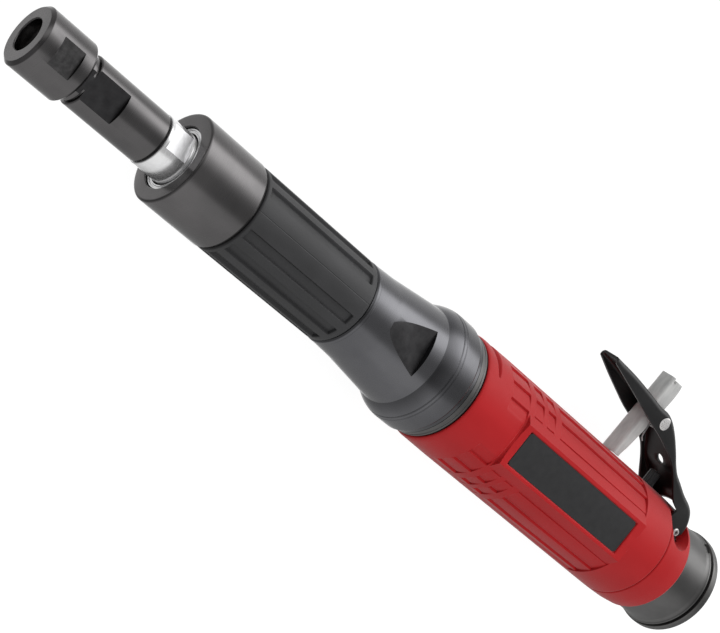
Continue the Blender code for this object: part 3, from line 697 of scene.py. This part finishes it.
def make_exhaust_ring():
    outer = [
        (369.1, 22.4), (369.4, 22.7, 0.1), (384.2, 22.7, 0.6), (385.5, 23.2, 0.3), (385.9, 23.6, 0.2),
        (386.6, 23.6, 0.2), (386.7, 22.3), (387.9, 22.3), (388.0, 24.0, 0.2), (388.9, 24.1, 0.3),
        (391.5, 24.0, 0.5), (392.4, 23.2),
    ]
    bore = [
        (369.1, 20.0), (390.6, 20.0), (390.6, 17.5), (390.9, 17.2, 0.1), (392.0, 17.2), (392.4, 17.6),
    ]
    ring = turned("exhaust_ring_turned", outer, bore, steps=168)
    low, high = (384.0, -2.6, 22.75), (387.3, 2.6, 28)
    cut(ring, [block("notch", low, high, NOTCH_ANGLE + turn) for turn in (0, 180)])
    soften(ring, 0.2)
    hand_over(ring, ["exhaust_ring"], "satin_grey", "housing", look="exhaust_steel")


THREAD_FRONT, THREAD_TURNS, THREAD_PITCH = 375.5, 12, 1.34
THREAD_ROOT, THREAD_CREST = 6.7, 6.7 - 0.55
HEXAGON = 12.0             # half the distance across the bushing's flats


def make_inlet_bushing():
    thread = []
    for i in range(THREAD_TURNS):
        front = THREAD_FRONT + THREAD_PITCH * i
        thread += [(front, THREAD_ROOT), (front + 0.45, THREAD_CREST)]
        thread += [(front + 0.6, THREAD_CREST), (front + 1.05, THREAD_ROOT)]
    outer = [(366.3, 10.7), (388.5, 10.7), (388.5, 13.8), (391.6, 13.8, 0.3), (392.0, 13.4)]
    bore = [(366.3, 4.6), (374.0, 4.6), (374.0, 6.6)] + thread + [(391.6, 6.8), (392.0, 7.3)]
    bushing = turned("inlet_bushing_threaded", outer, bore, steps=96)
    flats = [block("flat", (388.4, -12, HEXAGON), (394.0, 12, 18.0), 60 * i) for i in range(6)]
    cut(bushing, flats)
    soften(bushing, 0.15)
    hand_over(bushing, ["inlet_bushing"], "fitting_steel", "housing")


# ---- throttle lever ----------------------------------------------------------------------------
# Each section: top edge, lower edge of the side wall, and half width, from tip to hinge.
LEVER_SECTIONS = [
    ((279.9, 54.3), (280.4, 52.8), 4.7),
    ((291.6, 53.7), (291.9, 49.6), 6.7),
    ((303.4, 52.4), (303.6, 46.5), 8.1),
    ((312.3, 51.2), (312.3, 44.2), 8.8),
    ((319.2, 51.0), (320.4, 42.6), 9.1),
    ((325.9, 47.8), (327.4, 40.6), 9.3),
    ((333.4, 42.1), (333.8, 38.4), 9.8),
    ((340.3, 36.0), (339.6, 34.4), 10.5),
    ((346.6, 32.9), (346.0, 28.5), 11.1),
    ((352.6, 30.1), (350.9, 24.0), 11.7),
    ((358.2, 28.1), (352.2, 20.5), 12.3),
    ((361.1, 25.7), (354.8, 18.0), 12.8),
    ((363.0, 22.0), (357.6, 15.2), 13.1),
    ((363.4, 18.0), (361.2, 14.6), 13.2),
]
LEVER_SHEET, LEVER_BEND = 1.2, 1.35
LOCK_PIVOT = (318.9, 47.7)
LOCK_SLOT = (308.0, 44.0, -5.2), (328.5, 60.0, 5.2)
WEB_HOLE, WEB_SLOPE = (339.2, 36.8), 48
ARCH_HALF, ARCH_RADIUS, ARCH_LIFT = 10.7, 25.4, 1.8
PRESS = 15                 # how far the lever swings, in degrees
PLUNGER = 342.3            # station of the plunger's line


def between(values, fine):
    """Points on a smooth curve through the values, fine steps to each stretch."""
    values = np.array(values, float)
    ends = np.vstack([2 * values[0] - values[1], values, 2 * values[-1] - values[-2]])
    out = []
    for i in range(1, len(ends) - 2):
        a, b, c, d = ends[i - 1:i + 3]
        for k in range(fine):
            u = k / fine
            out.append(0.5 * (2 * b + (c - a) * u + (2 * a - 5 * b + 4 * c - d) * u * u
                              + (3 * b - a - 3 * c + d) * u ** 3))
    return out + [values[-1]]


def sheet_from_rows(name, rows, thickness):
    """A bent sheet: an open grid of points in millimetres, thickened to one side."""
    shape = bmesh.new()
    grid = [[shape.verts.new(Vector(p) * MM) for p in row] for row in rows]
    for row, after in zip(grid, grid[1:]):
        for i in range(len(row) - 1):
            shape.faces.new((row[i], row[i + 1], after[i + 1], after[i]))
    mesh = bpy.data.meshes.new(name)
    shape.to_mesh(mesh)
    shape.free()
    mesh.transform(SPINDLE_LINE)
    piece = new_piece(name, mesh)
    skin = piece.modifiers.new("sheet", "SOLIDIFY")
    skin.thickness = thickness * MM
    skin.offset = -1
    skin.use_even_offset = True
    apply_modifiers(piece)
    return piece


def lever_row(values):
    """Points across one section, from one wall's lower edge over the web to the other's."""
    top, low, half = Vector(values[:2]), Vector(values[2:4]), values[4]
    down = (low - top).normalized()
    depth = (low - top).length
    bend = min(LEVER_BEND, 0.6 * depth)
    side = [(top + down * d, half) for d in (depth, 0.66 * depth + 0.34 * bend, bend)]
    for k in range(1, 6):
        turn = math.radians(90 * (1 - k / 5))
        side.append((top + down * bend * (1 - math.cos(turn)), half - bend + bend * math.sin(turn)))
    side += [(top, half * 0.45)]
    right = [(p.x, p.y, z) for p, z in side]
    left = [(x, y, -z) for x, y, z in reversed(right)]
    return right + [(top.x, top.y, 0.0)] + left


def make_throttle_lever():
    flat = [(*top, *low, half) for top, low, half in LEVER_SECTIONS]
    rows = [lever_row([float(v) for v in values]) for values in between(flat, 4)]
    lever = sheet_from_rows("throttle_lever_pressed", rows, LEVER_SHEET)
    cut(lever, [
        block("slot", *LOCK_SLOT),
        rear_arch(),
        turned("web_hole", [(-8, 2.3), (8, 2.3)], steps=40, matrix=web_hole_line()),
        turned("pin_hole", [(-16, 1.9), (16, 1.9)], steps=32, matrix=line_up(at(*PIN), "z")),
        turned("rivet_hole", [(-12, 2.1), (12, 2.1)], steps=32, matrix=line_up(at(*LOCK_PIVOT), "z")),
        pressed_clearance(),
    ])
    soften(lever, 0.22, angle=50, segments=2)
    hand_over(lever, ["throttle_lever"], "lever_black", "throttle_lever", math.radians(34))


def pressed_clearance():
    """The handle's place when the lever is pressed, seen from the lever at rest."""
    hinge = Matrix.Translation(at(*PIN))
    swing = hinge @ Matrix.Rotation(math.radians(-PRESS), 4, "Z") @ hinge.inverted()
    return turned("clearance", [(300.0, 25.45), (351.6, 25.45)], steps=96, matrix=swing @ SPINDLE_LINE)


def web_hole_line():
    """The hole goes square through the web's steep stretch."""
    return Matrix.Translation(at(*WEB_HOLE)) @ Matrix.Rotation(math.radians(WEB_SLOPE), 4, "Z")


def rear_arch():
    """The web's rear edge is cut away in an arch that clears the round body."""
    sides = [ARCH_HALF - 2 * ARCH_HALF * i / 24 for i in range(25)]
    top = [(ARCH_LIFT + math.sqrt(ARCH_RADIUS ** 2 - z ** 2), z) for z in sides]
    outline = [(4.0, -ARCH_HALF), (4.0, ARCH_HALF), *top]
    shape = bmesh.new()
    rings = [[shape.verts.new(Vector((x, y, z)) * MM) for y, z in outline] for x in (349.0, 368.0)]
    shape.faces.new(rings[0])
    shape.faces.new(rings[1])
    for i in range(len(outline)):
        j = (i + 1) % len(outline)
        shape.faces.new((rings[0][i], rings[0][j], rings[1][j], rings[1][i]))
    return from_shape("arch", shape, SPINDLE_LINE)


def make_hinge_pin():
    """A roll pin: a split tube with chamfered ends."""
    pin = turned("hinge_roll_pin", [(-14.8, 1.5), (-14.5, 1.75), (14.5, 1.75), (14.8, 1.5)],
                 [(-14.8, 0.95), (14.8, 0.95)], steps=48, matrix=line_up(at(*PIN), "z"))
    slit = block("slit", (PIN[0] - 0.25, PIN[1] - 3, -16), (PIN[0] + 0.25, PIN[1], 16))
    cut(pin, [slit])
    hand_over(pin, ["lever_pin"], "pin_chrome", "housing")


# ---- lock-off lever ----------------------------------------------------------------------------
LOCK_FOOT, LOCK_HEAD = 25.2, 65.8
LOCK_HALF, LOCK_BEND, LOCK_SHEET = 4.5, 1.7, 1.4
LOCK_LUG = 3.9             # radius of the lug round the pivot
WEB_HEIGHTS, WEB_STATIONS = [26.7, 66.2], [310.6, 311.9]
REAR_HEIGHTS = [26.7, 31.0, 40.5, 44.3, 51.1, 58.0, 62.3, 65.2, 66.2]
REAR_STATIONS = [314.5, 315.6, 316.9, 317.2, 318.6, 319.2, 319.2, 318.6, 318.0]


def lock_rear(height):
    """Station of the flanges' rear edge at a height, with the lug round the pivot."""
    edge = np.interp(height, REAR_HEIGHTS, REAR_STATIONS)
    off = abs(height - LOCK_PIVOT[1])
    if off < LOCK_LUG:
        edge = max(edge, LOCK_PIVOT[0] + math.sqrt(LOCK_LUG ** 2 - off ** 2))
    return float(edge)


def make_lock_lever():
    rows = []
    half, bend = LOCK_HALF, LOCK_BEND
    by_lug = np.linspace(43.9, 51.5, 20)
    for height in sorted({*np.linspace(LOCK_FOOT, LOCK_HEAD, 30), *by_lug}):
        web = float(np.interp(height, WEB_HEIGHTS, WEB_STATIONS))
        rear = lock_rear(height)
        side = [(rear, half), ((rear + web + bend) / 2, half), (web + bend, half)]
        side += [(web + bend - bend * math.sin(a), half - bend + bend * math.cos(a))
                 for a in (math.radians(90 * k / 5) for k in range(1, 6))]
        side += [(web, half * 0.35)]
        right = [(x, height, z) for x, z in side]
        rows.append(right + [(x, y, -z) for x, y, z in reversed(right)])
    lever = sheet_from_rows("lock_lever_pressed", rows, -LOCK_SHEET)
    tools = [turned("hole", [(-6, 2.0), (6, 2.0)], steps=32, matrix=line_up(at(*LOCK_PIVOT), "z"))]
    for side in (-1, 1):
        low, high = sorted((side * 2.9, side * 6.0))
        tools.append(block("notch", (313.3, 63.7, low), (314.7, 68.0, high)))
        tools.append(block("top", (314.4, 65.1, low), (320.0, 68.0, high)))
    cut(lever, tools)
    soften(lever, 0.3, angle=50, segments=3)
    hand_over(lever, ["lock_lever"], "lock_steel", "lock_lever")


def wire(name, points, thickness):
    """A round wire through (station, height, side) points, as a closed mesh."""
    curve = bpy.data.curves.new(name, "CURVE")
    curve.dimensions = "3D"
    curve.bevel_depth = thickness / 2 * MM
    curve.bevel_resolution = 3
    curve.use_fill_caps = True
    line = curve.splines.new("POLY")
    line.points.add(len(points) - 1)
    for spot, place in zip(line.points, points):
        spot.co = (*at(*place), 1)
    guide = new_piece(name + "_guide", curve)
    mesh = bpy.data.meshes.new_from_object(guide.evaluated_get(bpy.context.evaluated_depsgraph_get()))
    bpy.data.objects.remove(guide)
    return new_piece(name, mesh)


def spring_piece(name, points, thickness, body):
    spring = wire(name, points, thickness)
    spring.data.materials.append(LOOKS["spring_steel"])
    spring.data.shade_smooth()
    spring.data.set_sharp_from_angle(angle=SHARP)
    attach(spring, body)


LEG_SIDE = 4.9             # how far the spring's leg stands to the name plate's side


def make_spring_ends():
    """What shows of the return spring: coils beside the flange, and a leg along its rear edge."""
    station, height = LOCK_PIVOT
    turns, radius, steps = 3.5, 2.7, 84
    coil = []
    for i in range(steps + 1):
        a = 2 * math.pi * turns * i / steps
        side = -5.1 - 2.9 * i / steps
        coil.append((station + radius * math.cos(a), height + radius * math.sin(a), side))
    spring_piece("lock_spring_coils", coil, 0.75, "throttle_lever")
    bends = [(320.6, 45.4), (316.6, 45.9), (317.0, 43.9), (317.3, 40.2), (317.9, 38.2), (319.4, 36.9)]
    leg = between([(*place, LEG_SIDE) for place in bends], 6)
    spring_piece("lock_spring_leg", [tuple(float(v) for v in p) for p in leg], 0.6, "lock_lever")


def make_lock_rivet():
    profile = [
        (-11.0, 1.2), (-10.9, 2.7, 0.4), (-9.5, 2.7), (-9.5, 1.8), (9.15, 1.8), (9.15, 3.2),
        (9.25, 3.3, 0.1), (9.8, 3.3, 0.3), (10.25, 2.9, 0.4), (10.45, 1.8, 0.5), (10.55, 0.6),
    ]
    rivet = turned("lock_rivet_domed", profile, steps=64, matrix=line_up(at(*LOCK_PIVOT), "z"))
    hand_over(rivet, ["lock_rivet"], "pin_chrome", "throttle_lever")


def make_plunger():
    """A moulded button with ribs along its side."""
    ribs, depth, ribbed_from = 10, 0.4, 2.6
    shape = bmesh.new()
    steps = ribs * 8
    rings = []
    side = [(8.0, 2.2), (21.5, 2.2), (21.5, 2.75), (31.2, 2.75, 0.3), (31.8, 2.3, 0.2), (31.9, 1.5)]
    for height, radius in rounded(side, 3):
        ring = []
        for i in range(steps):
            turn = 2 * math.pi * i / steps
            rib = 0.5 - 0.5 * math.tanh(4 * math.cos(ribs * turn))
            size = radius - (depth * rib if radius > ribbed_from else 0.0)
            place = (height * MM, size * math.sin(turn) * MM, size * math.cos(turn) * MM)
            ring.append(shape.verts.new(place))
        rings.append(ring)
    shape.faces.new(rings[0])
    shape.faces.new(rings[-1])
    for one, other in zip(rings, rings[1:]):
        for i in range(steps):
            j = (i + 1) % steps
            shape.faces.new((one[i], one[j], other[j], other[i]))
    plunger = from_shape("plunger_ribbed", shape, line_up(at(PLUNGER), "y"))
    hand_over(plunger, ["throttle_plunger"], "plunger_black", "plunger", math.radians(35))


# ---- everything that stays as the CAD made it ----------------------------------------------------
def dress_cad_nodes():
    slots = {entry["node"]: entry["material_slot"] for entry in frame["record"]["subparts"]}
    for name, node in frame["nodes"].items():
        for slot in node.material_slots:
            slot.material = LOOKS[slots[name]]


# ---- studio ------------------------------------------------------------------------------------
def make_floor():
    shape = bmesh.new()
    bmesh.ops.create_grid(shape, x_segments=1, y_segments=1, size=3.0)
    floor = from_shape("floor", shape)
    floor.location = (0, 0, -0.0002)
    paper = bpy.data.materials.new("pale_floor")
    paper.use_nodes = True
    shader = paper.node_tree.nodes["Principled BSDF"]
    shader.inputs["Base Color"].default_value = (0.20, 0.20, 0.20, 1)
    shader.inputs["Roughness"].default_value = 0.9
    shader.inputs["Specular IOR Level"].default_value = 0.0
    shader.inputs["Emission Color"].default_value = (1, 1, 1, 1)
    shader.inputs["Emission Strength"].default_value = 0.9
    floor.data.materials.append(paper)
    floor.visible_glossy = False
    floor.visible_diffuse = False
    floor.visible_shadow = False


# Levels of the room round the tool's length, by the angle from straight up towards the lever's side.
ROOM = [
    (-180, 2.2), (-170, 1.1), (-155, 0.45), (-130, 0.5), (-100, 0.66), (-60, 0.78), (-20, 0.85),
    (-13, 0.34), (20, 0.34), (30, 0.5), (45, 1.2), (58, 2.6), (80, 2.7), (90, 0.95), (98, 0.6),
    (115, 0.85), (135, 0.85), (155, 1.0), (168, 1.4), (180, 1.5),
]
# And along its length, from straight ahead of the nut (-1) to straight behind (1).
ROOM_LENGTH = [
    (-1.0, 0.40), (-0.5, 0.45), (0.0, 0.85), (0.35, 1.2), (0.6, 1.0), (0.78, 0.7), (1.0, 0.4),
]


def ramp_node(tree, stops, low, high):
    """A grey ramp through (value, level) stops, with its input scaled from low..high to 0..1."""
    share = add(tree, "ShaderNodeMapRange", inputs={"From Min": low, "From Max": high})
    ramp = add(tree, "ShaderNodeValToRGB")
    tree.links.new(share.outputs["Result"], ramp.inputs["Fac"])
    elements = ramp.color_ramp.elements
    while len(elements) < len(stops):
        elements.new(0.5)
    for element, (value, level) in zip(elements, stops):
        element.position = (value - low) / (high - low)
        element.color = (level, level, level, 1)
    return share.inputs["Value"], ramp.outputs["Color"]


def make_world():
    """A soft room whose brightness changes round the tool, as between soft boxes and flags."""
    world = bpy.data.worlds.new("studio")
    bpy.context.scene.world = world
    world.use_nodes = True
    tree = world.node_tree
    background = tree.nodes["Background"]
    coords = add(tree, "ShaderNodeTexCoord")
    parts = add(tree, "ShaderNodeSeparateXYZ")
    angle = add(tree, "ShaderNodeMath", operation="ARCTAN2")
    degrees = add(tree, "ShaderNodeMath", operation="DEGREES")
    both = add(tree, "ShaderNodeMix", data_type="RGBA", blend_type="MULTIPLY")
    both.inputs["Factor"].default_value = 1.0
    round_in, round_out = ramp_node(tree, ROOM, -180, 180)
    length_in, length_out = ramp_node(tree, ROOM_LENGTH, -1, 1)
    tree.links.new(coords.outputs["Generated"], parts.inputs["Vector"])
    tree.links.new(parts.outputs["Y"], angle.inputs[0])
    tree.links.new(parts.outputs["Z"], angle.inputs[1])
    tree.links.new(angle.outputs["Value"], degrees.inputs[0])
    tree.links.new(degrees.outputs["Value"], round_in)
    tree.links.new(parts.outputs["X"], length_in)
    tree.links.new(round_out, both.inputs["A"])
    tree.links.new(length_out, both.inputs["B"])
    tree.links.new(both.outputs["Result"], background.inputs["Color"])


LIGHT_PLACE, LIGHT_SIZE, LIGHT_POWER = (0.1, 0.0, 1.6), 1.6, 12.0


def make_light():
    """A soft square overhead, aimed at the middle of the tool and left out of its reflections."""
    lamp = bpy.data.lights.new("overhead", "AREA")
    lamp.shape = "RECTANGLE"
    lamp.size, lamp.size_y = LIGHT_SIZE, LIGHT_SIZE
    lamp.energy = LIGHT_POWER
    holder = bpy.data.objects.new("overhead", lamp)
    bpy.context.scene.collection.objects.link(holder)
    holder.location = LIGHT_PLACE
    holder.rotation_euler = (-Vector(LIGHT_PLACE)).to_track_quat("-Z", "Y").to_euler()
    holder.visible_glossy = False


CAMERA_PLACE = (-0.4297, -0.04964, 0.58224)
CAMERA_BACK = (-0.5862, -0.0424, 0.8090)  # from what it looks at to the camera
CAMERA_UP = (-0.5248, 0.7805, -0.3395)


def make_camera():
    """Looks down on the tool from its front, tilted so that the tool crosses from corner to corner."""
    camera = bpy.data.cameras.new("camera")
    camera.lens = 92.23
    camera.sensor_width = 36.0
    camera.clip_start = 0.01
    holder = bpy.data.objects.new("camera", camera)
    bpy.context.scene.collection.objects.link(holder)
    back = Vector(CAMERA_BACK).normalized()
    up = Vector(CAMERA_UP)
    right = up.cross(back).normalized()
    up = back.cross(right)
    turn = Matrix((right, up, back)).transposed().to_4x4()
    holder.matrix_world = Matrix.Translation(CAMERA_PLACE) @ turn
    bpy.context.scene.camera = holder


def build():
    make_collet_nut()
    make_collet()
    make_spindle_extension()
    make_spindle()
    make_nose()
    make_bearing_retainer()
    make_grip()
    make_clamp_housing()
    make_clamp_ring()
    make_handle()
    make_rear_ring()
    make_name_plate()
    make_exhaust_ring()
    make_inlet_bushing()
    make_throttle_lever()
    make_hinge_pin()
    make_lock_lever()
    make_lock_rivet()
    make_spring_ends()
    make_plunger()
    dress_cad_nodes()
    make_floor()
    make_world()
    make_light()
    make_camera()


build()
bpy.context.scene.view_settings.view_transform = "Standard"
